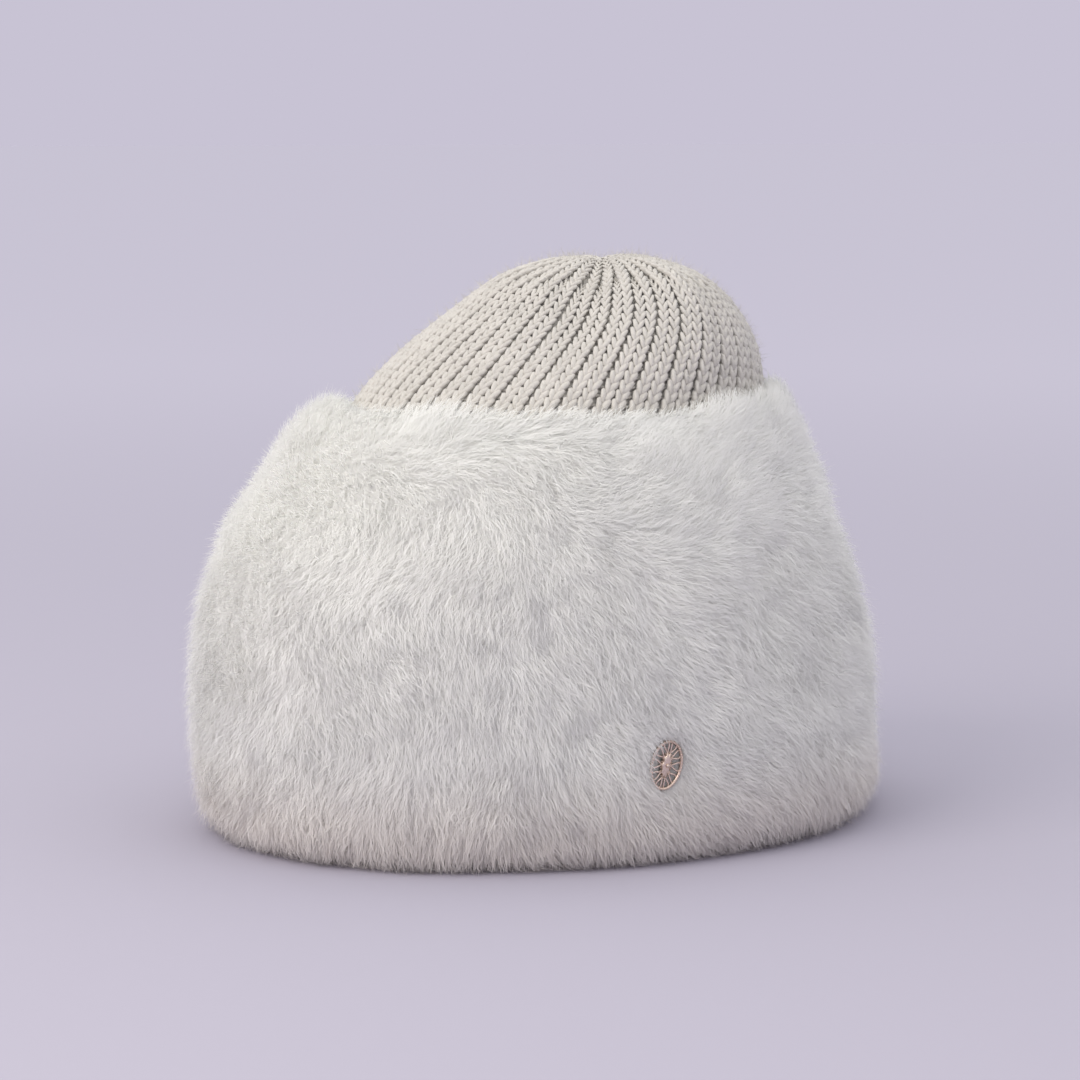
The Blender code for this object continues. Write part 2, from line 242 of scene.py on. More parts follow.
wall_columns = np.arange(4 * RIBS) * TURN / (4 * RIBS)
rib_wave = np.cos(wall_columns * RIBS)
outer_rows = np.concatenate([np.linspace(0, KNIT_EDGE, 12)[:-1], np.linspace(KNIT_EDGE, 1, 26)])
under_yarn = (OUTSIDE_RIPPLE * rib_wave - WALL_UNDER_YARN) * MM
wall_rings = [
    knit_surface(wall_columns, share, np.where(share < KNIT_EDGE, -SEAM_GAP, under_yarn))
    for share in outer_rows
]
gather_centre = knit_surface(wall_columns, 1.0).mean(axis=0)
mouth = wall_rings[-1] - gather_centre
for width, dip in GATHER_SECTIONS:
    wall_rings.append(gather_centre + width * mouth - [0, 0, dip * MM])
wall_rings += [
    knit_surface(wall_columns, share, -KNIT_THICKNESS + INSIDE_RIPPLE * rib_wave)
    for share in outer_rows[::-2]
]
for ring in (wall_rings[0], wall_rings[-1]):
    ring[:, 2] = ROLL_HEIGHT + SEAM_GAP
wall_faces = ring_quads(len(wall_rings), len(wall_columns), closed=True)
knit_wall = mesh_object("knit_wall", np.concatenate(wall_rings), wall_faces)
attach(knit_wall, "root")
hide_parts("knit_cap")

# Bulky spun yarn, matt and slightly fuzzy: its fibres and twist show as fine uneven ridges, drawn
# coarser than real fibres so that they show, and the dye lies a little unevenly.
DYE_PATCH = 9 * MM
FIBRE_GRAIN = 0.5 * MM
YARN_TWIST = 7 * MM
YARN_RELIEF = 0.35 * MM

wool, tree, shader = new_material(
    "spun_wool_yarn",
    Roughness=0.92,
    Sheen_Weight=0.25,
    Sheen_Roughness=0.5,
    Specular_IOR_Level=0.25,
)
place = add_node(tree, "ShaderNodeTexCoord")
unevenness = add_node(
    tree,
    "ShaderNodeTexNoise",
    {"Vector": place.outputs["Object"], "Scale": 1 / DYE_PATCH, "Detail": 3.0},
)
dye = add_node(
    tree,
    "ShaderNodeMix",
    {"Factor": unevenness.outputs["Fac"], 6: linear("#C5C2BA"), 7: linear("#DAD6CE")},
    data_type="RGBA",
)
tree.links.new(dye.outputs[2], shader.inputs["Base Color"])
fibre = add_node(
    tree,
    "ShaderNodeTexNoise",
    {"Vector": place.outputs["Object"], "Scale": 1 / FIBRE_GRAIN, "Detail": 4.0, "Roughness": 0.75},
)
twist = add_node(
    tree,
    "ShaderNodeTexWave",
    {"Vector": place.outputs["Object"], "Scale": 1 / YARN_TWIST, "Distortion": 6.0, "Detail Scale": 1.5},
    bands_direction="DIAGONAL",
)
relief = add_node(
    tree, "ShaderNodeMath", {0: fibre.outputs["Fac"], 1: twist.outputs["Fac"]}, operation="ADD"
)
bump = add_node(
    tree, "ShaderNodeBump", {"Height": relief.outputs["Value"], "Strength": 0.6, "Distance": YARN_RELIEF}
)
tree.links.new(bump.outputs["Normal"], shader.inputs["Normal"])
knit_wall.data.materials.append(wool)


# Reach is a share of half the length, and girth is a share of the full thickness.
#   reach girth
SPINDLE_RINGS = [(-0.62, 0.76), (0.0, 1.0), (0.62, 0.76)]


def spindles(name, centre, along, side, half_length, half_side, half_out, sink, sides=6):
    """Plump pieces of yarn, tapered and turned down at both ends, joined as one mesh."""
    out = unit(np.cross(side, along))
    ends = along * half_length[:, None]
    points = [centre - ends - out * (sink * half_out)[:, None]]
    for reach, girth in SPINDLE_RINGS:
        for corner in np.arange(sides) * TURN / sides:
            across = side * (girth * half_side * math.cos(corner))[:, None]
            rise = out * (girth * half_out * math.sin(corner))[:, None]
            points.append(centre + reach * ends + across + rise)
    points.append(centre + ends - out * (sink * half_out)[:, None])
    last = len(points) - 1
    faces = []
    for i in range(sides):
        j = (i + 1) % sides
        faces += [(0, 1 + i, 1 + j), (last, 1 + 2 * sides + j, 1 + 2 * sides + i)]
        for ring in (1, 1 + sides):
            faces += [
                (ring + i, ring + sides + j, ring + j),
                (ring + i, ring + sides + i, ring + sides + j),
            ]
    faces = np.array(faces)[None] + len(points) * np.arange(len(centre))[:, None, None]
    return mesh_object(name, np.stack(points, axis=1).reshape(-1, 3), faces.reshape(-1, 3).tolist())


# Stitches. Each rib is a column of V-shaped stitches, and each V is two leaning legs of plump yarn.
# In the furrows between ribs lie the short bars of the purl stitches, with a dark hole between bars.
# Towards the gather, every other rib is drawn under its neighbours.
RIB_PAIRING = 0.05
RIB_WANDER = 0.35 * TURN / RIBS
LEG_LEAN = 0.34
LEG_TILT = 0.5
LEG_OFFSET = 0.175
LEG_SINK = 0.17
LEG_LENGTH = 0.98 * STITCH_RISE
LEG_WIDTH = 0.205
LEG_DEPTH = 0.27
DRAWN_FROM = 3.8 * MM
DRAWN_OVER = 1.6 * MM
DRAWN_UNDER = 2.0 * MM
DRAWN_WIDER = 0.85
DRAWN_NARROWER = 0.55
BAR_DEPTH = 2.1 * MM
BAR_WIDTH = 0.85 * MM
BAR_RISE = 0.75 * MM

rng = np.random.default_rng(7)
walk = np.linspace(KNIT_EDGE - 0.03, 1.0, 200)
angle, share, odd = [], [], []
for rib in range(RIBS):
    rib_angle = (rib + (RIB_PAIRING if rib % 2 else -RIB_PAIRING)) * TURN / RIBS
    path = knit_surface(rib_angle, walk)
    reach = np.concatenate([[0], np.cumsum(np.linalg.norm(np.diff(path, axis=0), axis=1))])
    rows = np.arange(reach[-1] - 0.4 * STITCH_RISE, 0, -STITCH_RISE)
    share.append(np.interp(rows, reach, walk))
    angle.append(np.full(len(rows), rib_angle))
    odd.append(np.full(len(rows), rib % 2))
angle, share, odd = (np.concatenate(values) for values in (angle, share, odd))
angle = angle + RIB_WANDER * noise(knit_surface(angle, share), 26 * MM, 12)
step = 0.01
middle = knit_surface(angle, share)
around = knit_surface(angle + step, share) - knit_surface(angle - step, share)
rib_width = np.linalg.norm(around, axis=1) / (2 * step) * TURN / RIBS
around = unit(around)
upward = unit(knit_surface(angle, np.minimum(share + step, 1.0)) - knit_surface(angle, share - step))
out = unit(np.cross(around, upward))
drawn = np.clip((DRAWN_FROM - rib_width) / DRAWN_OVER, 0, 1)
drawn = drawn * drawn * (3 - 2 * drawn)
rib_width = rib_width * (1 + drawn * np.where(odd, -DRAWN_NARROWER, DRAWN_WIDER))
middle = middle - out * (np.where(odd, DRAWN_UNDER, 0.0) * drawn)[:, None]
kept = (drawn < 0.97) | (odd == 0)
middle, around, upward, out, rib_width, share, angle, drawn = (
    values[kept] for values in (middle, around, upward, out, rib_width, share, angle, drawn)
)

legs = []
for hand in (-1, 1):
    lean = LEG_LEAN * hand
    tilt = LEG_TILT * hand
    along = unit(upward * math.cos(lean) + around * math.sin(lean))
    side = unit(around * math.cos(tilt) - out * math.sin(tilt))
    side = unit(side - along * np.sum(side * along, axis=1, keepdims=True))
    centre = middle + around * (LEG_OFFSET * rib_width * hand)[:, None]
    sink = rng.uniform(-0.15, 0.15, len(middle)) * MM - LEG_SINK * rib_width
    centre = centre + out * sink[:, None]
    legs.append((centre, along, side))
centre, along, side = (np.concatenate(values) for values in zip(*legs))
size = np.concatenate([rib_width, rib_width])
knit_stitches = spindles(
    "knit_stitches",
    centre,
    along,
    side,
    np.full(len(size), LEG_LENGTH) * rng.uniform(0.92, 1.06, len(size)),
    np.minimum(LEG_WIDTH * size, YARN_WIDTH / 2) * rng.uniform(0.92, 1.08, len(size)),
    np.minimum(LEG_DEPTH * size, 0.62 * YARN_WIDTH),
    0.8,
)

# The gather: the last ribs are pleated together and drawn down into a closed pucker.
PLEATS = 19
PLEAT_DIP = 3.0 * MM

pleat_turn = (np.arange(PLEATS) + rng.uniform(-0.15, 0.15, PLEATS)) * TURN / PLEATS
pleat_out = knit_surface(pleat_turn, 0.992, -0.6 * MM)
pleat_in = gather_centre + 0.07 * (pleat_out - gather_centre) * [1, 1, 0] - [0, 0, PLEAT_DIP]
pleat_along = unit(pleat_in - pleat_out)
pleat_side = unit(np.cross(pleat_along, [0, 0, 1]))
pleat_length = np.linalg.norm(pleat_in - pleat_out, axis=1)
gather_pleats = spindles(
    "gather_pleats",
    (pleat_out + pleat_in) / 2,
    pleat_along,
    -pleat_side,
    0.56 * pleat_length,
    rng.uniform(0.85, 1.15, PLEATS) * MM,
    rng.uniform(1.3, 1.7, PLEATS) * MM,
    0.5,
)

# The bars in the furrows, which end where the ribs close up.
furrow = angle + TURN / RIBS / 2
wide = drawn < 0.4
bar_centre = knit_surface(furrow, share, -BAR_DEPTH)[wide]
purl_bars = spindles(
    "purl_bars",
    bar_centre,
    around[wide],
    -upward[wide],
    0.33 * rib_width[wide],
    np.full(wide.sum(), BAR_WIDTH),
    np.full(wide.sum(), BAR_RISE),
    1.2,
    sides=4,
)
for piece in (knit_stitches, gather_pleats, purl_bars):
    piece.data.materials.append(wool)
    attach(piece, "root")


def ribbons(name, points, sides, widths):
    """Fine fibres as flat tapered ribbons: rows of points from root to tip, joined as one mesh."""
    rows = points.shape[1]
    edges = []
    for row in range(rows - 1):
        offset = sides * (widths * (1 - 0.75 * (row / (rows - 1)) ** 2) / 2)[:, None]
        edges += [points[:, row] - offset, points[:, row] + offset]
    edges.append(points[:, -1])
    faces = []
    for row in range(rows - 2):
        a = 2 * row
        faces += [(a, a + 1, a + 3), (a, a + 3, a + 2)]
    faces.append((2 * rows - 4, 2 * rows - 3, 2 * rows - 2))
    faces = np.array(faces)[None] + len(edges) * np.arange(len(points))[:, None, None]
    return mesh_object(name, np.stack(edges, axis=1).reshape(-1, 3), faces.reshape(-1, 3).tolist())


# Loose fibres that stand off the yarn, a few times thicker than real ones so that they show.
FUZZ_FIBRES = 12000
FUZZ_WIDTH = 0.07 * MM
FUZZ_SPREAD = 1.5 * MM

at = rng.integers(0, len(middle), FUZZ_FIBRES)
fuzz_root = middle[at] + around[at] * rng.normal(0, FUZZ_SPREAD, (FUZZ_FIBRES, 1))
drift = rng.normal(0, 1.0, (FUZZ_FIBRES, 3))
fuzz_rise = out[at] * rng.uniform(0.5 * MM, 1.4 * MM, (FUZZ_FIBRES, 1))
fuzz_middle = fuzz_root + fuzz_rise + drift * 0.6 * MM
fuzz_tip = fuzz_middle + out[at] * rng.uniform(0, 0.8 * MM, (FUZZ_FIBRES, 1)) + drift * 1.0 * MM
fuzz = ribbons(
    "knit_fuzz",
    np.stack([fuzz_root, fuzz_middle, fuzz_tip], axis=1),
    unit(np.cross(fuzz_tip - fuzz_root, rng.normal(0, 1, (FUZZ_FIBRES, 3)))),
    np.full(FUZZ_FIBRES, FUZZ_WIDTH),
)
fuzz.data.materials.append(wool)
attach(fuzz, "root")


# Plush cuff. A band of deep faux-fur fabric, folded double, turned under at the rim and sewn to the
# knit. Under the pile is its knitted backing; the pile is brushed into soft, uneven locks.

ROLL_DEPTH = 0.022
TOP_EDGE_ROUND = 4.5 * MM
PILE_RISE = 2.0 * MM
PILE_DEPTH = 2.4 * MM
PILE_LENGTH = 9.5 * MM
EDGE_WANDER = 7.0 * MM
EDGE_WAVE = 42 * MM
WANDER_FROM = 0.55
SEAM_INSET = 0.3 * MM
SECTIONS_ROUND = 360
OUTSIDE_RINGS = 44

# Height is a share of CUFF_HEIGHT; length and setback are shares of CUFF_LENGTH, width of CUFF_WIDTH.
#   height length width setback
CUFF_SECTIONS = [
    (0.000, 0.915, 0.900, 0.000),
    (0.045, 0.968, 0.958, 0.000),
    (0.120, 0.992, 0.988, -0.001),
    (0.240, 0.990, 1.000, -0.008),
    (0.370, 0.976, 0.997, -0.017),
    (0.510, 0.945, 0.976, -0.024),
    (0.650, 0.892, 0.938, -0.027),
    (0.785, 0.822, 0.880, -0.021),
    (0.905, 0.738, 0.806, -0.006),
    (0.990, 0.667, 0.734, 0.012),
]

# The turned-in rim, from the floor up to its shoulder, as shares of ROLL_HEIGHT and ROLL_DEPTH.
#   height depth
LIP_SECTIONS = [(0.00, 0.66), (0.00, 0.80), (0.14, 0.93), (0.45, 1.00), (0.80, 0.98), (1.00, 0.86)]

# The rounded top edge, as shares of the way across from the outside of the cuff to the knit.
EDGE_SECTIONS = (1.0, 0.93, 0.8, 0.65, 0.5, 0.35, 0.22, 0.1)

# Angles from the front round by the left side, in degrees; height and reach are shares of CUFF_HEIGHT,
# and depth is in millimetres.
#   angle spread height reach depth
CUFF_DENTS = [
    (5, 40, 0.84, 0.08, 3.6),
    (112, 13, 0.52, 0.20, 2.7),
    (148, 20, 0.20, 0.14, 3.8),
    (205, 18, 0.58, 0.22, 2.5),
    (262, 15, 0.40, 0.20, 3.1),
    (318, 16, 0.62, 0.18, 2.2),
]


def cuff_ovals(share):
    """The cuff's level ovals, at shares of the way from its rim to its top."""
    height, length, width, setback = np.moveaxis(between_rows(CUFF_SECTIONS, share), -1, 0)
    return (
        length * CUFF_LENGTH / 2,
        width * CUFF_WIDTH / 2,
        setback * CUFF_LENGTH,
        0.0,
        np.maximum(height, 0.0) * CUFF_HEIGHT,
    )


def dent_depth(angle, height):
    """How far seams and handling press the pile in, in metres."""
    total = 0.0
    for centre, spread, at, reach, depth in CUFF_DENTS:
        turn = ((np.degrees(angle) - centre + 180) % 360 - 180) / spread
        total = total + depth * MM * np.exp(-(turn**2) - ((height / CUFF_HEIGHT - at) / reach) ** 2)
    return total


# The cuff's section at every angle, from the knit over the top edge, down the outside, under the rim
# and up the turned-in lip. These rings are the outer envelope of the pile.
section_angles = np.arange(SECTIONS_ROUND) * TURN / SECTIONS_ROUND
at_top = np.ones(SECTIONS_ROUND)
top_out = outward(cuff_ovals, section_angles, at_top)
top_outside = oval(section_angles, *cuff_ovals(at_top))
top_inside = knit_surface(section_angles, KNIT_EDGE, SEAM_GAP)
envelope = []
for across in EDGE_SECTIONS:
    rise = TOP_EDGE_ROUND * math.sin(math.pi * across) ** 0.7 if across < 1 else 0.0
    way = unit(0.4 * top_out + [0, 0, 1])
    envelope.append(top_outside + (top_inside - top_outside) * across + way * rise)
for share in np.linspace(1, 0, OUTSIDE_RINGS):
    at = np.full(SECTIONS_ROUND, share)
    ring = oval(section_angles, *cuff_ovals(at))
    lift = PILE_RISE * min(1, 6 * share) - dent_depth(section_angles, ring[:, 2])
    envelope.append(ring + outward(cuff_ovals, section_angles, at) * lift[:, None])
for height, depth in LIP_SECTIONS:
    half_length = CUFF_LENGTH / 2 - depth * ROLL_DEPTH
    half_width = CUFF_WIDTH / 2 - depth * ROLL_DEPTH
    envelope.append(oval(section_angles, half_length, half_width, 0.0, 0.0, height * ROLL_HEIGHT))
envelope = np.stack(envelope)

# The top edge wanders up and down, as soft fabric does.
near_top = np.clip((envelope[..., 2] / CUFF_HEIGHT - WANDER_FROM) / (1 - WANDER_FROM), 0, 1)
envelope[..., 2] += EDGE_WANDER * near_top**2 * noise(envelope, EDGE_WAVE, 9)

# The ways out of the envelope and down it.
ring_down = np.gradient(envelope, axis=0)
ring_out = unit(np.cross(ring_down, np.roll(envelope, -1, axis=1) - np.roll(envelope, 1, axis=1)))
for _ in range(3):
    ring_out[1:-1] = unit(ring_out[:-2] + 2 * ring_out[1:-1] + ring_out[2:])
ring_down = unit(ring_down - ring_out * np.sum(ring_down * ring_out, axis=-1, keepdims=True))

# The badge's seat, low on the left side. Its post draws the fabric in around it.
BADGE_ANGLE = math.radians(83)
BADGE_HEIGHT = 0.034
BADGE_LEAN = math.radians(-12)
BADGE_WIDTH = 12 * MM
BADGE_LENGTH = 17 * MM
BADGE_SINK = 3.0 * MM
BADGE_ZONE = 0.02
DIMPLE_DEPTH = 3.3 * MM
DIMPLE_REACH = 1.3

badge_out = outward(cuff_ovals, BADGE_ANGLE, share_at_height(cuff_ovals, BADGE_HEIGHT))
badge_seat = oval(BADGE_ANGLE, *cuff_ovals(np.array(share_at_height(cuff_ovals, BADGE_HEIGHT))))
badge_seat = badge_seat - badge_out * BADGE_SINK
steepest = unit([0, 0, 1] - badge_out * badge_out[2])
badge_up = np.array(Matrix.Rotation(BADGE_LEAN, 3, badge_out) @ Vector(steepest))
badge_axes = np.stack([np.cross(badge_up, badge_out), badge_up, badge_out])
badge_reach = np.array([BADGE_WIDTH / 2, BADGE_LENGTH / 2])


def on_badge(points):
    """How far out points lie over the badge, 1 at its edge, and their places in the badge's frame."""
    local = (points - badge_seat) @ badge_axes.T
    return np.linalg.norm(local[..., :2] / badge_reach, axis=-1), local


def over_badge(points, reach):
    """Which points lie over the badge, as far out as reach times its size."""
    share, local = on_badge(points)
    return (share < reach) & (np.abs(local[..., 2]) < BADGE_ZONE)


drawn_in = DIMPLE_DEPTH * np.exp(-((on_badge(envelope)[0] / DIMPLE_REACH) ** 4))
drawn_in = drawn_in * over_badge(envelope, math.inf)

# The backing that the pile grows from, closed behind by the lining that the knit lies against. The
# pile is shorter along the top edge and inside the lip.
FABRIC_OFF_FLOOR = 0.8 * MM
LIP_GROWTH = (0.9, 0.8, 0.7, 0.6, 0.5, 0.45, 0.4)

ring_growth = np.ones(len(envelope))
ring_growth[: len(EDGE_SECTIONS)] = np.linspace(0.7, 0.95, len(EDGE_SECTIONS))
ring_growth[-len(LIP_GROWTH) :] = LIP_GROWTH
inset = PILE_DEPTH * ring_growth[:, None] + drawn_in
inset[0] = inset[-1] = SEAM_INSET
backing = envelope - ring_out * inset[..., None]
backing[..., 2] = np.maximum(backing[..., 2], FABRIC_OFF_FLOOR)
lining = [knit_surface(section_angles, share, SEAM_GAP) for share in np.linspace(0, KNIT_EDGE, 10)]
lining[0][:, 2] = ROLL_HEIGHT
skin_rings = np.concatenate([backing, np.stack(lining)])[:, ::2]
skin_faces = ring_quads(len(skin_rings), skin_rings.shape[1], closed=True)
cuff_backing = mesh_object("cuff_backing", skin_rings.reshape(-1, 3), skin_faces)
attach(cuff_backing, "root")
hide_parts("fur_cuff")

# Polyester plush, undyed ivory: fine matt fibres that let light through, with a soft sheen where
# they catch it. The tone drifts a little from patch to patch and from tuft to tuft, and towards the
# rim the cuff is painted a warmer, slightly darker beige: painted warm shade.
RIM_SHADE_HEIGHT = 0.040
TONE_PATCH = 26 * MM
TONE_TUFT = 2 * MM
LET_THROUGH = 0.42

plush, tree, shader = new_material(
    "ivory_polyester_plush",
    Roughness=0.8,
    Sheen_Weight=0.3,
    Sheen_Roughness=0.4,
    Specular_IOR_Level=0.2,
)
place = add_node(tree, "ShaderNodeTexCoord")
height = add_node(tree, "ShaderNodeSeparateXYZ", {"Vector": place.outputs["Object"]})
# Painted warm shade at the rim: full at the floor, gone 40 mm up.
rim_shade = add_node(
    tree,
    "ShaderNodeMapRange",
    {"Value": height.outputs["Z"], "From Max": RIM_SHADE_HEIGHT, "To Min": 1.0, "To Max": 0.0},
    interpolation_type="SMOOTHSTEP",
)
patches = add_node(
    tree,
    "ShaderNodeTexNoise",
    {"Vector": place.outputs["Object"], "Scale": 1 / TONE_PATCH, "Detail": 2.0},
)
tufts = add_node(
    tree,
    "ShaderNodeTexNoise",
    {"Vector": place.outputs["Object"], "Scale": 1 / TONE_TUFT, "Detail": 3.0},
)
drift = add_node(
    tree, "ShaderNodeMath", {0: patches.outputs["Fac"], 1: tufts.outputs["Fac"]}, operation="MULTIPLY"
)
tone = add_node(
    tree, "ShaderNodeMapRange", {"Value": drift.outputs["Value"], "From Min": 0.1, "From Max": 0.4}
)
ivory = add_node(
    tree,
    "ShaderNodeMix",
    {"Factor": tone.outputs["Result"], 6: linear("#FAFAF7"), 7: linear("#FEFEFB")},
    data_type="RGBA",
)
# The ivory mixed towards a warmer, darker beige near the rim: painted warm shade.
ivory_with_rim_shade = add_node(
    tree,
    "ShaderNodeMix",
    {"Factor": rim_shade.outputs["Result"], 6: ivory.outputs[2], 7: linear("#F8F4EF")},
    data_type="RGBA",
)
tree.links.new(ivory_with_rim_shade.outputs[2], shader.inputs["Base Color"])
through = add_node(tree, "ShaderNodeBsdfTranslucent", {"Color": ivory_with_rim_shade.outputs[2]})
fibres = add_node(
    tree,
    "ShaderNodeMixShader",
    {"Fac": LET_THROUGH, 1: shader.outputs["BSDF"], 2: through.outputs["BSDF"]},
)
tree.links.new(fibres.outputs["Shader"], tree.nodes["Material Output"].inputs["Surface"])

# The same plush close to its backing, where short, dense fibres make a fine woolly grain. It is drawn
# coarser than real fibres so that it shows.
WOOLLY_GRAIN = 0.7 * MM
GRAIN_RELIEF = 0.4 * MM

underpile = plush.copy()
underpile.name = "dense_plush_underpile"
tree = underpile.node_tree
place = add_node(tree, "ShaderNodeTexCoord")
grain = add_node(
    tree,
    "ShaderNodeTexNoise",
    {"Vector": place.outputs["Object"], "Scale": 1 / WOOLLY_GRAIN, "Detail": 3.0, "Roughness": 0.7},
)
bump = add_node(
    tree, "ShaderNodeBump", {"Height": grain.outputs["Fac"], "Strength": 0.5, "Distance": GRAIN_RELIEF}
)
tree.links.new(bump.outputs["Normal"], tree.nodes["Principled BSDF"].inputs["Normal"])
cuff_backing.data.materials.append(underpile)

# Pile. Each fine tapered strand stands for a bunch of fibres, about ten times as wide as one. The
# strands gather in tufts, the tufts in locks, and the locks lie the way that the plush was brushed.
LOCKS = 3600
TUFTS = 36000
STRANDS = 236000
STRAND_WIDTH = 0.22 * MM
STRAND_STRAY = 0.38
TIP_JITTER = 0.45 * MM
LOCK_WIDTH = 6.0 * MM
SWEEP_START = 0.090
SWEEP_END = 0.150
SWEEP_BELOW = 0.35
SWEEP_TURN = 2.0
EDGE_BAND = 0.15
RIM_BAND = 10 * MM
RIM_FLATTER = 0.45

# How a strand rises from the backing and lies over, from its root to its middle and then to its tip.
# Part is a share of its length.
#   rise lie part
STRAND_BENDS = [(0.75, 0.85, 0.52), (0.35, 1.00, 0.48)]

# Layers of unevenness in the pile's length, the height where its sweep turns, its turn and its lie.
#   strength size seed
LENGTH_LAYERS = [(0.16, 30 * MM, 7), (0.14, 12 * MM, 8)]
EDGE_LAYER = (0.4, 13 * MM, 10)
HEIGHT_LAYERS = [(20 * MM, 60 * MM, 1)]
TURN_LAYERS = [(0.7, 34 * MM, 2), (0.6, 12 * MM, 3)]
LIE_LAYERS = [(0.15, 22 * MM, 4), (0.1, 9 * MM, 5)]

rng = np.random.default_rng(21)
grid_growth = np.broadcast_to(ring_growth[:, None, None], (*ring_out.shape[:2], 1))
grids = np.concatenate([backing, ring_out, ring_down, grid_growth], axis=-1)


def uneven(start, points, layers):
    """A value at points, with layers of noise added."""
    for strength, size, seed in layers:
        start = start + strength * noise(points, size, seed)
    return start


def pile_roots(count):
    """Roots spread evenly over the backing, each with the way out and down and its growth."""
    a, b = envelope[:-1], envelope[1:]
    size = np.linalg.norm(np.roll(a, -1, axis=1) - a, axis=-1) * np.linalg.norm(b - a, axis=-1)
    reach = np.cumsum(size.ravel())
    ring, column = np.divmod(np.searchsorted(reach, rng.uniform(0, reach[-1], count)), a.shape[1])
    onward = (column + 1) % a.shape[1]
    along, across = rng.uniform(0, 1, (2, count, 1))
    low = grids[ring, column] * (1 - across) + grids[ring, onward] * across
    high = grids[ring + 1, column] * (1 - across) + grids[ring + 1, onward] * across
    values = low * (1 - along) + high * along
    root, out, down, growth = values[:, :3], values[:, 3:6], values[:, 6:9], values[:, 9]
    at_edge = np.clip(root[:, 2] / CUFF_HEIGHT - (1 - EDGE_BAND), 0, EDGE_BAND) / EDGE_BAND
    strength, size, seed = EDGE_LAYER
    length = uneven(1, root, [*LENGTH_LAYERS, (strength * at_edge, size, seed)])
    return root, unit(out), unit(down), growth * length


def brushed(points, out, down):
    """Which way and how far the pile lies over: down and back on the lower cuff, swept round to up
    and back near the top edge."""
    height = uneven(points[:, 2], points, HEIGHT_LAYERS)
    raised = np.clip((height - SWEEP_START) / (SWEEP_END - SWEEP_START), 0, 1)
    raised = raised * raised * (3 - 2 * raised)
    turn = uneven(SWEEP_BELOW + SWEEP_TURN * raised, points, TURN_LAYERS)
    rim = np.clip(1 - points[:, 2] / RIM_BAND, 0, 1)
    reach = (1 - RIM_FLATTER * rim) * uneven(1, points, LIE_LAYERS)
    back = unit(np.cross(out, down))
    return down * (reach * np.cos(turn))[:, None] + back * (reach * np.sin(turn))[:, None]


def strand_shape(root, out, down, length):
    """The middle and the tip of strands, which bend over the way that the pile is brushed."""
    brushing = brushed(root, out, down)
    points = [root]
    for rise, lie, part in STRAND_BENDS:
        way = unit(rise * out + lie * brushing + rng.normal(0, STRAND_STRAY, root.shape))
        points.append(points[-1] + part * length[:, None] * way)
    return points[1:]


def nearest(centres, points):
    """The index of the nearest centre to each point."""
    tree = KDTree(len(centres))
    for i, centre in enumerate(centres.tolist()):
        tree.insert(centre, i)
    tree.balance()
    return np.fromiter((tree.find(point)[1] for point in points.tolist()), int, len(points))


def gather(middle, tip, centre_middle, centre_tip, hold):
    """Draws the middles and tips of strands towards those of the tuft or lock that they belong to."""
    hold = hold[:, None]
    return middle + 0.4 * hold * (centre_middle - middle), tip + hold * (centre_tip - tip)


lock_root, lock_out, lock_down, lock_growth = pile_roots(LOCKS)
lock_middle, lock_tip = strand_shape(
    lock_root, lock_out, lock_down, PILE_LENGTH * lock_growth * rng.uniform(0.85, 1.15, LOCKS)
)
tuft_root, tuft_out, tuft_down, tuft_growth = pile_roots(TUFTS)
tuft_middle, tuft_tip = strand_shape(
    tuft_root, tuft_out, tuft_down, PILE_LENGTH * tuft_growth * rng.uniform(0.8, 1.15, TUFTS)
)
lock = nearest(lock_root, tuft_root)
tuft_middle, tuft_tip = gather(
    tuft_middle, tuft_tip, lock_middle[lock], lock_tip[lock], rng.uniform(0.3, 0.6, TUFTS)
)
root, out, down, growth = pile_roots(STRANDS)
middle, tip = strand_shape(root, out, down, PILE_LENGTH * growth * rng.uniform(0.6, 1.1, STRANDS))
tuft = nearest(tuft_root, root)
middle, tip = gather(middle, tip, tuft_middle[tuft], tuft_tip[tuft], rng.uniform(0.0, 0.22, STRANDS))
tip += rng.normal(0, TIP_JITTER, tip.shape)

# The pile parts around the badge: beneath it the strands lie flat, and a few tips just reach over its
# edge. These are the greatest heights of roots, middles and tips over the badge's seat.
PRESSED_FLAT = (-0.9 * MM, -0.3 * MM, 0.35 * MM)

under = over_badge(root, 0.97)
for points, most in zip((root, middle, tip), PRESSED_FLAT):
    share, local = on_badge(points)
    local[:, 2] = np.minimum(local[:, 2], most)
    local[:, :2] *= np.minimum(1, 0.95 / np.maximum(share, 1e-6))[:, None]
    points[under] = (local @ badge_axes + badge_seat)[under]
crossing = np.zeros(STRANDS, bool)
for mix in (0.0, 0.25, 0.5, 0.75, 1.0):
    crossing |= over_badge(root + mix * (middle - root), 0.96)
    crossing |= over_badge(middle + mix * (tip - middle), 0.84)
kept = under | ~crossing
root, middle, tip, out, tuft = (values[kept] for values in (root, middle, tip, out, tuft))

# On the floor the strands splay outwards.
FLOOR_CLEARANCE = 0.5 * MM
FLOOR_SPLAY = 0.8

for row in (root, middle, tip):
    below = np.maximum(FLOOR_CLEARANCE - row[:, 2], 0)
    row[:, :2] += unit(out[:, :2]) * FLOOR_SPLAY * below[:, None]
    row[:, 2] += below

# A ribbon's flat side faces mostly outwards, and it is shaded as the lock that it lies in.
RIBBON_TWIST = 0.25
LOCK_SHADE = 0.25
SHADE_STRAY = 0.04

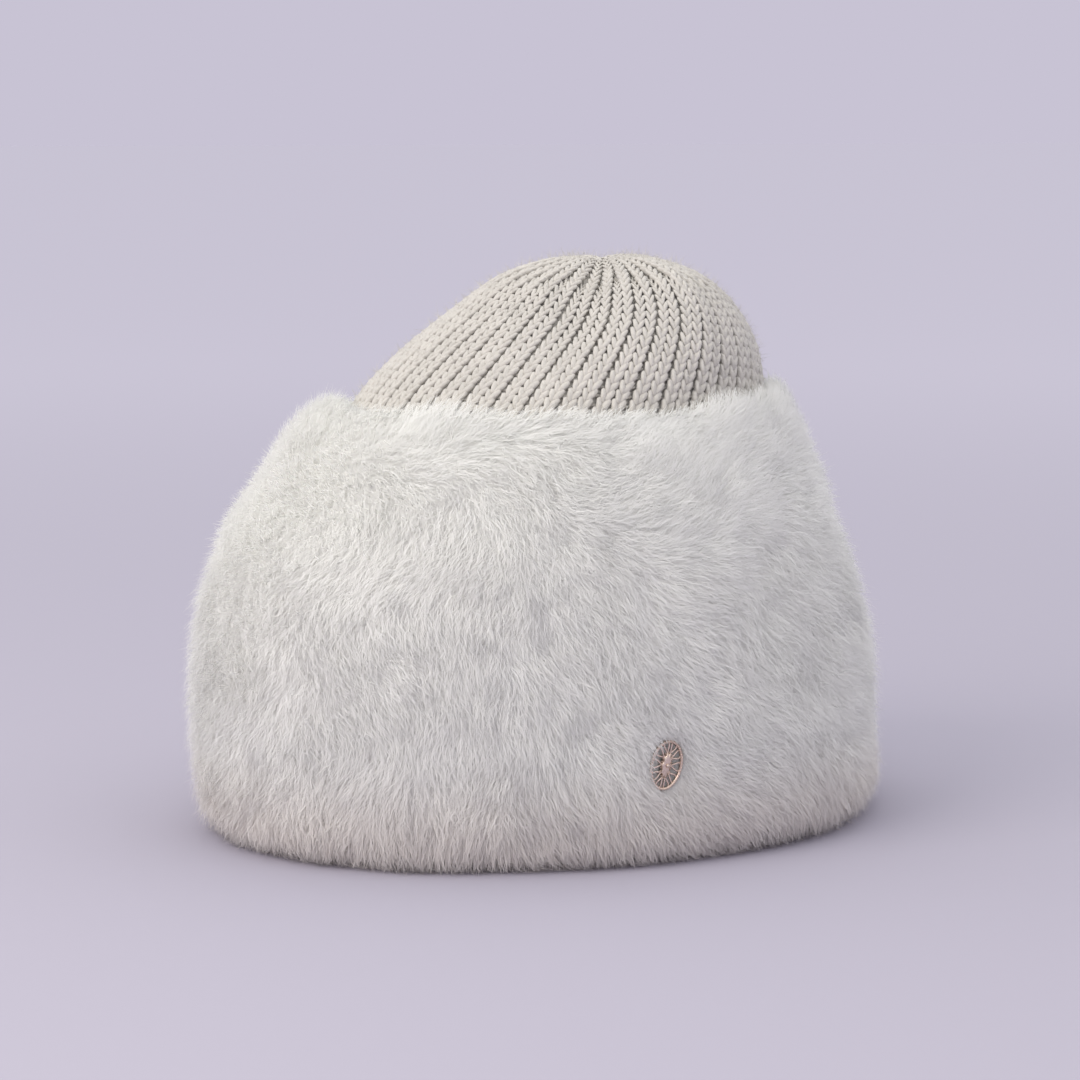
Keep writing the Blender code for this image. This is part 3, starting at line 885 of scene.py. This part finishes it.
direction = unit(tip - root)
flat = unit(np.cross(direction, out))
twist = rng.normal(0, RIBBON_TWIST, len(root))[:, None]
flat = unit(flat * np.cos(twist) + np.cross(direction, flat) * np.sin(twist))
own_lock = lock[tuft]
lie = lock_tip[own_lock] - lock_root[own_lock]
lie = lie - out * np.sum(lie * out, axis=1, keepdims=True)
beside = middle - lock_middle[own_lock]
beside = beside - out * np.sum(beside * out, axis=1, keepdims=True)
shade = out - LOCK_SHADE * lie / PILE_LENGTH + LOCK_SHADE * beside / LOCK_WIDTH
shade = unit(shade + rng.normal(0, SHADE_STRAY, out.shape))
turned = np.sum(np.cross(flat, direction) * shade, axis=1) < 0
flat[turned] *= -1
width = STRAND_WIDTH * rng.uniform(0.7, 1.35, len(root))
quarter = np.floor((np.degrees(np.arctan2(root[:, 0], -root[:, 1])) % 360) / 90).astype(int)
for number, name in enumerate(("front_left", "back_left", "back_right", "front_right")):
    own = quarter == number
    pile = ribbons("pile_" + name, np.stack([root, middle, tip], axis=1)[own], flat[own], width[own])
    pile.data.normals_split_custom_set_from_vertices(np.repeat(shade[own], 5, axis=0).tolist())
    pile.data.materials.append(plush)
    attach(pile, "root")


# Badge. A small oval openwork rosette, cast in brass and plated in rose gilt: a beaded rim, and ten
# open petals of wire round a fluted, domed boss with beads at its foot. A post holds it to the cuff.

BADGE_TOP = 1.7 * MM
BADGE_RIM = 1.1 * MM
RIM_BEADS = 44
PETALS = 10
PETAL_WIRE = 0.34 * MM
PETAL_SPREAD = 0.27
RIM_BEAD = 0.34 * MM
BOSS_BEAD = 0.3 * MM
CENTRE_BEAD = 0.75 * MM
BOSS_WIDTH = 3.6 * MM
BOSS_LENGTH = 8.6 * MM
BOSS_BEADS = 26
BOSS_FOOT = 0.9 * MM
BOSS_DOME = 1.2 * MM
FLUTE_DEPTH = 0.09
PETAL_HEIGHT = 0.9 * MM
PETAL_BOW = 0.25 * MM
POST_RADIUS = 0.7 * MM
POST_LENGTH = 4.5 * MM

badge_points, badge_faces = [], []


def add_to_badge(rings, closed=False):
    """Adds a surface through rings of points, open or closed upon itself, to the badge's mesh."""
    first = sum(len(points) for points in badge_points)
    rings = np.asarray(rings)
    badge_points.append(rings.reshape(-1, 3))
    badge_faces.extend(ring_quads(len(rings), rings.shape[1], first, closed))
    if not closed:
        count = rings.shape[1]
        last = first + (len(rings) - 1) * count
        badge_faces.append(list(range(first, first + count))[::-1])
        badge_faces.append(list(range(last, last + count)))


def flat_oval(count, half_width, half_length, height=0.0):
    """Points round a level oval in the badge's frame."""
    turn = np.arange(count) * TURN / count
    return np.stack([half_width * np.cos(turn), half_length * np.sin(turn), np.full(count, height)], -1)


def add_wire(path, width, rise, sides=8):
    """A round or flattened wire along a closed level path."""
    side = unit(np.cross(np.roll(path, -1, axis=0) - np.roll(path, 1, axis=0), [0, 0, 1]))
    corner = np.arange(sides)[:, None, None] * TURN / sides
    rings = path + side * width / 2 * np.cos(corner) + np.array([0, 0, rise / 2]) * np.sin(corner)
    add_to_badge(rings[::-1], closed=True)


def add_bead(centre, radius, rows=5, sides=8):
    """A small ball, flattened at its poles."""
    turn = np.linspace(-0.46 * math.pi, 0.46 * math.pi, rows)
    rings = [flat_oval(sides, math.cos(t), math.cos(t), math.sin(t)) for t in turn]
    add_to_badge(centre + radius * np.stack(rings))


half_width, half_length = BADGE_WIDTH / 2 - BADGE_RIM / 2, BADGE_LENGTH / 2 - BADGE_RIM / 2
add_wire(flat_oval(72, half_width, half_length, 0.6 * BADGE_TOP), BADGE_RIM, 0.8 * BADGE_TOP, sides=10)
for centre in flat_oval(RIM_BEADS, half_width, half_length, 0.92 * BADGE_TOP):
    add_bead(centre, RIM_BEAD)
for centre in flat_oval(BOSS_BEADS, BOSS_WIDTH / 2 + 0.1 * MM, BOSS_LENGTH / 2 + 0.1 * MM, 1.0 * MM):
    add_bead(centre, BOSS_BEAD)
for petal in np.arange(PETALS) * TURN / PETALS:
    turn = np.arange(28) * TURN / 28
    out_share = 0.5 - 0.5 * np.cos(turn)
    spread = PETAL_SPREAD * np.sin(turn) * (0.35 + 0.65 * out_share)
    wide = BOSS_WIDTH / 2 + (half_width - BOSS_WIDTH / 2) * out_share
    long = BOSS_LENGTH / 2 + (half_length - BOSS_LENGTH / 2) * out_share
    bow = PETAL_HEIGHT + PETAL_BOW * np.sin(math.pi * out_share)
    path = np.stack([wide * np.cos(petal + spread), long * np.sin(petal + spread), bow], -1)
    add_wire(path, 2 * PETAL_WIRE, 2 * PETAL_WIRE, sides=6)
flutes = 1 + FLUTE_DEPTH * np.cos(PETALS * np.arange(80) * TURN / 80)[:, None]
boss_rings = [flat_oval(80, BOSS_WIDTH / 2, BOSS_LENGTH / 2, 0.3 * MM)]
for climb in np.linspace(0, 0.44 * math.pi, 9):
    ring = flat_oval(80, BOSS_WIDTH / 2, BOSS_LENGTH / 2) * math.cos(climb) * flutes
    boss_rings.append(ring + [0, 0, BOSS_FOOT + BOSS_DOME * math.sin(climb)])
add_to_badge(boss_rings)
add_bead(np.array([0, 0, BOSS_FOOT + BOSS_DOME]), CENTRE_BEAD, rows=9, sides=20)
add_to_badge([flat_oval(12, POST_RADIUS, POST_RADIUS, height) for height in (-POST_LENGTH, 0.6 * MM)])
badge = mesh_object("badge_rosette", np.concatenate(badge_points), badge_faces)
badge.data.polygons.foreach_set("use_smooth", [len(face) == 4 for face in badge_faces])
badge.matrix_world = Matrix.Translation(Vector(badge_seat)) @ Matrix(badge_axes.T.tolist()).to_4x4()
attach(badge, "root")
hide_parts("badge")

# Rose-gilt plating: bright on its high points, darkened in the recesses, and a little uneven in
# gloss from handling.
RECESS_DEPTH = 0.5 * MM
HIGH_POINT = 1.5 * MM
HANDLING_PATCH = 1.2 * MM

gilt, tree, shader = new_material("rose_gilt_brass", Metallic=1.0, Roughness=0.3)
place = add_node(tree, "ShaderNodeTexCoord")
height = add_node(tree, "ShaderNodeSeparateXYZ", {"Vector": place.outputs["Object"]})
worn = add_node(
    tree,
    "ShaderNodeMapRange",
    {"Value": height.outputs["Z"], "From Min": RECESS_DEPTH, "From Max": HIGH_POINT},
    interpolation_type="SMOOTHSTEP",
)
plating = add_node(
    tree,
    "ShaderNodeMix",
    {"Factor": worn.outputs["Result"], 6: linear("#86705F"), 7: linear("#E4D0C2")},
    data_type="RGBA",
)
tree.links.new(plating.outputs[2], shader.inputs["Base Color"])
handling = add_node(
    tree,
    "ShaderNodeTexNoise",
    {"Vector": place.outputs["Object"], "Scale": 1 / HANDLING_PATCH, "Detail": 3.0},
)
gloss = add_node(
    tree, "ShaderNodeMapRange", {"Value": handling.outputs["Fac"], "To Min": 0.16, "To Max": 0.36}
)
tree.links.new(gloss.outputs["Result"], shader.inputs["Roughness"])
badge.data.materials.append(gilt)


# Floor and light. A wide floor of matt lavender-grey paper, a little deeper where the light falls on
# it, which runs into a backdrop of the same tone. One large soft light stands to the front left of
# the picture, and an even fill comes from above.

PAPER_REACH = 40.0
PAPER_NEAR = 0.2
PAPER_FAR = 2.4

floor_corners = PAPER_REACH * np.array([(-1, -1, 0), (1, -1, 0), (1, 1, 0), (-1, 1, 0)])
floor = mesh_object("studio_floor", floor_corners, [(0, 1, 2, 3)])
paper, tree, shader = new_material("matt_studio_paper", Roughness=0.9, Specular_IOR_Level=0.0)
place = add_node(tree, "ShaderNodeTexCoord")
away = add_node(tree, "ShaderNodeVectorMath", {0: place.outputs["Object"]}, operation="LENGTH")
distance = add_node(
    tree,
    "ShaderNodeMapRange",
    {"Value": away.outputs["Value"], "From Min": PAPER_NEAR, "From Max": PAPER_FAR},
    interpolation_type="SMOOTHSTEP",
)
paper_tone = add_node(
    tree,
    "ShaderNodeMix",
    {"Factor": distance.outputs["Result"], 6: linear("#B1ADBA"), 7: linear("#C1BDCA")},
    data_type="RGBA",
)
tree.links.new(paper_tone.outputs[2], shader.inputs["Base Color"])
floor.data.materials.append(paper)

# The backdrop's tone up to just over the horizon, and brighter overhead.
DOME_FROM = 0.12
DOME_FULL = 0.75

world = bpy.data.worlds.new("studio")
bpy.context.scene.world = world
world.use_nodes = True
tree = world.node_tree
place = add_node(tree, "ShaderNodeTexCoord")
height = add_node(tree, "ShaderNodeSeparateXYZ", {"Vector": place.outputs["Generated"]})
climb = add_node(
    tree,
    "ShaderNodeMapRange",
    {"Value": height.outputs["Z"], "From Min": DOME_FROM, "From Max": DOME_FULL},
    interpolation_type="SMOOTHSTEP",
)
dome = add_node(
    tree,
    "ShaderNodeMix",
    {"Factor": climb.outputs["Result"], 6: linear("#C8C3D4"), 7: (1.22, 1.22, 1.23, 1.0)},
    data_type="RGBA",
)
tree.links.new(dome.outputs[2], tree.nodes["Background"].inputs["Color"])

LIGHT_DISTANCE = 1.6
CAMERA_AZIMUTH = 57
CAMERA_ELEVATION = 7
CAMERA_DISTANCE = 1.18
CAMERA_LENS = 112
AIM = Vector((0.0, 0.0, 0.097))


def aimed(thing, azimuth, elevation, distance):
    """Puts a light or camera at an angle from the front round by the left side, aimed at the hat."""
    azimuth, elevation = math.radians(azimuth), math.radians(elevation)
    level = math.cos(elevation)
    way = Vector((math.sin(azimuth) * level, -math.cos(azimuth) * level, math.sin(elevation)))
    thing.location = AIM + way * distance
    thing.rotation_euler = (-way).to_track_quat("-Z", "Y").to_euler()
    bpy.context.scene.collection.objects.link(thing)
    return thing


def soft_light(name, azimuth, elevation, size, power, colour):
    """A large round soft light, in metres and watts."""
    lamp = bpy.data.lights.new(name, "AREA")
    lamp.shape = "DISK"
    lamp.size = size
    lamp.energy = power
    lamp.color = linear(colour)[:3]
    aimed(bpy.data.objects.new(name, lamp), azimuth, elevation, LIGHT_DISTANCE)


soft_light("key", azimuth=12, elevation=30, size=1.2, power=12.5, colour="#FFF8F0")

camera = bpy.data.cameras.new("camera")
camera.lens = CAMERA_LENS
camera.clip_end = 200
bpy.context.scene.camera = aimed(
    bpy.data.objects.new("camera", camera), CAMERA_AZIMUTH, CAMERA_ELEVATION, CAMERA_DISTANCE
)
bpy.context.scene.view_settings.view_transform = "Standard"
